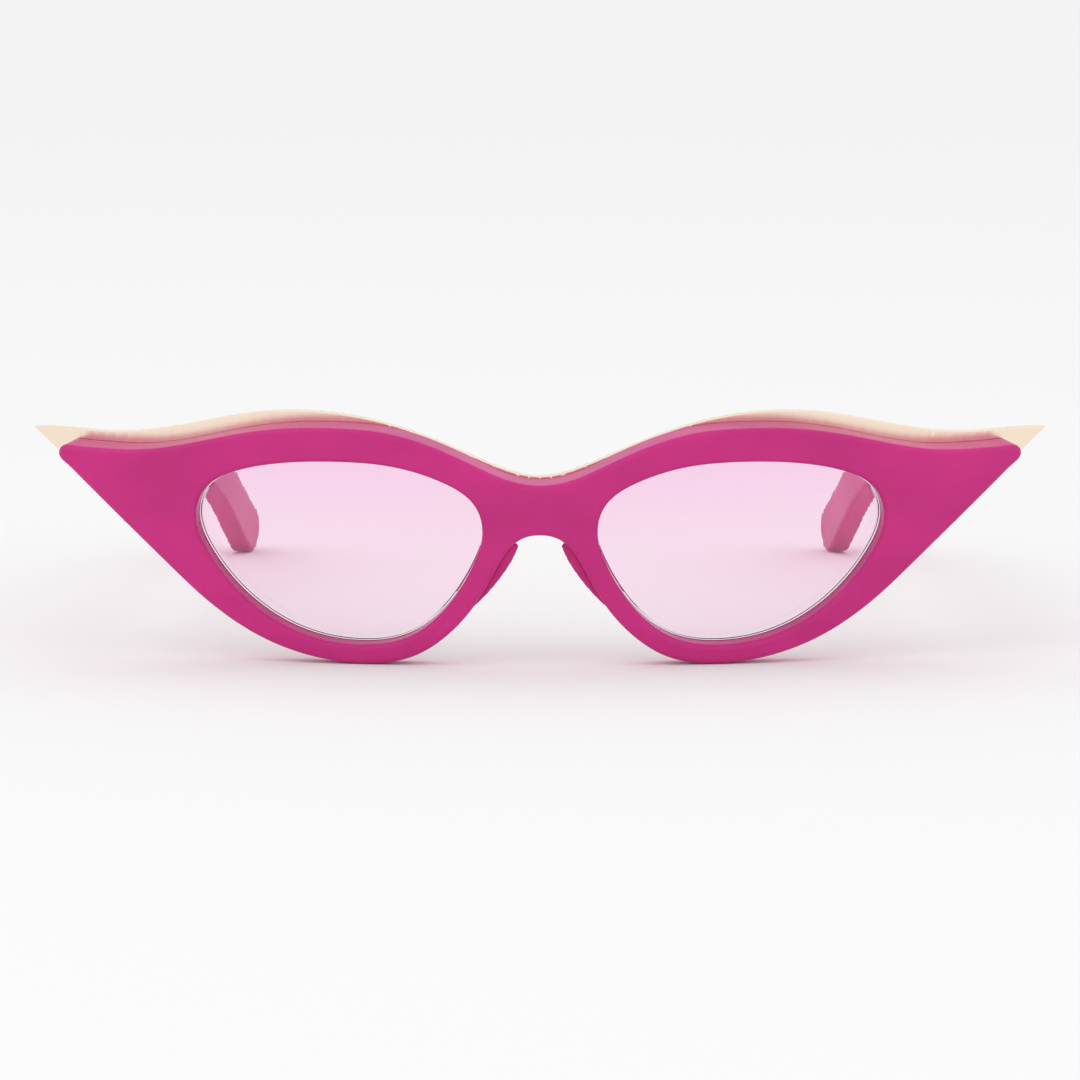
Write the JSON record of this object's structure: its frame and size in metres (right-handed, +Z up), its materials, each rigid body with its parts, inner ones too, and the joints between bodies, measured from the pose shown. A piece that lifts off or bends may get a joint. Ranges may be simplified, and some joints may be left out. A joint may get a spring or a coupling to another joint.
{
  "type": "cat eye sunglasses",
  "caption": "Cat eye sunglasses with a thick wrapped acetate front, a metal brow plate with pointed tips, tinted lenses and folding temples.",
  "frame": {"origin": "middle of the bounding box, on the surface the open glasses stand on", "axes": "+Z up, the front faces -Y, the temples run along +Y, +X is the wearer's left"},
  "size_m": [0.1732, 0.1554, 0.043],
  "materials": {
    "acetate": "polished magenta acetate",
    "gold_plate": "polished pale champagne gold",
    "lens": "pale pink gradient tint, darker at the brow",
    "hinge_metal": "plated hinge parts, screws, pins and rivets",
    "core_wire": "nickel silver core wire"
  },
  "bodies": {
    "front": {"front_frame": "acetate", "brow_plate": "gold_plate", "brow_plate_screws": "hinge_metal", "lens_left": "lens", "lens_right": "lens", "nose_pad_left": "acetate", "nose_pad_right": "acetate", "front_hinge_left": "hinge_metal", "front_hinge_right": "hinge_metal", "front_hinge_rivets_left": "hinge_metal", "front_hinge_rivets_right": "hinge_metal", "hinge_screw_left": "hinge_metal", "hinge_screw_right": "hinge_metal"},
    "temple_left": {"temple_left": "acetate", "temple_hinge_left": "hinge_metal", "temple_hinge_rivets_left": "hinge_metal", "core_wire_left": "core_wire"},
    "temple_right": {"temple_right": "acetate", "temple_hinge_right": "hinge_metal", "temple_hinge_rivets_right": "hinge_metal", "core_wire_right": "core_wire"}
  },
  "joints": [
    {"name": "fold_left", "type": "hinge", "parent": "front", "child": "temple_left", "pos_m": [0.0651, -0.05722, 0.02761], "axis": [0, -0.1392, 0.9903], "range_deg": [0, 92]},
    {"name": "fold_right", "type": "hinge", "parent": "front", "child": "temple_right", "pos_m": [-0.0651, -0.05722, 0.02761], "axis": [0, 0.1392, -0.9903], "range_deg": [0, 86]}
  ]
}
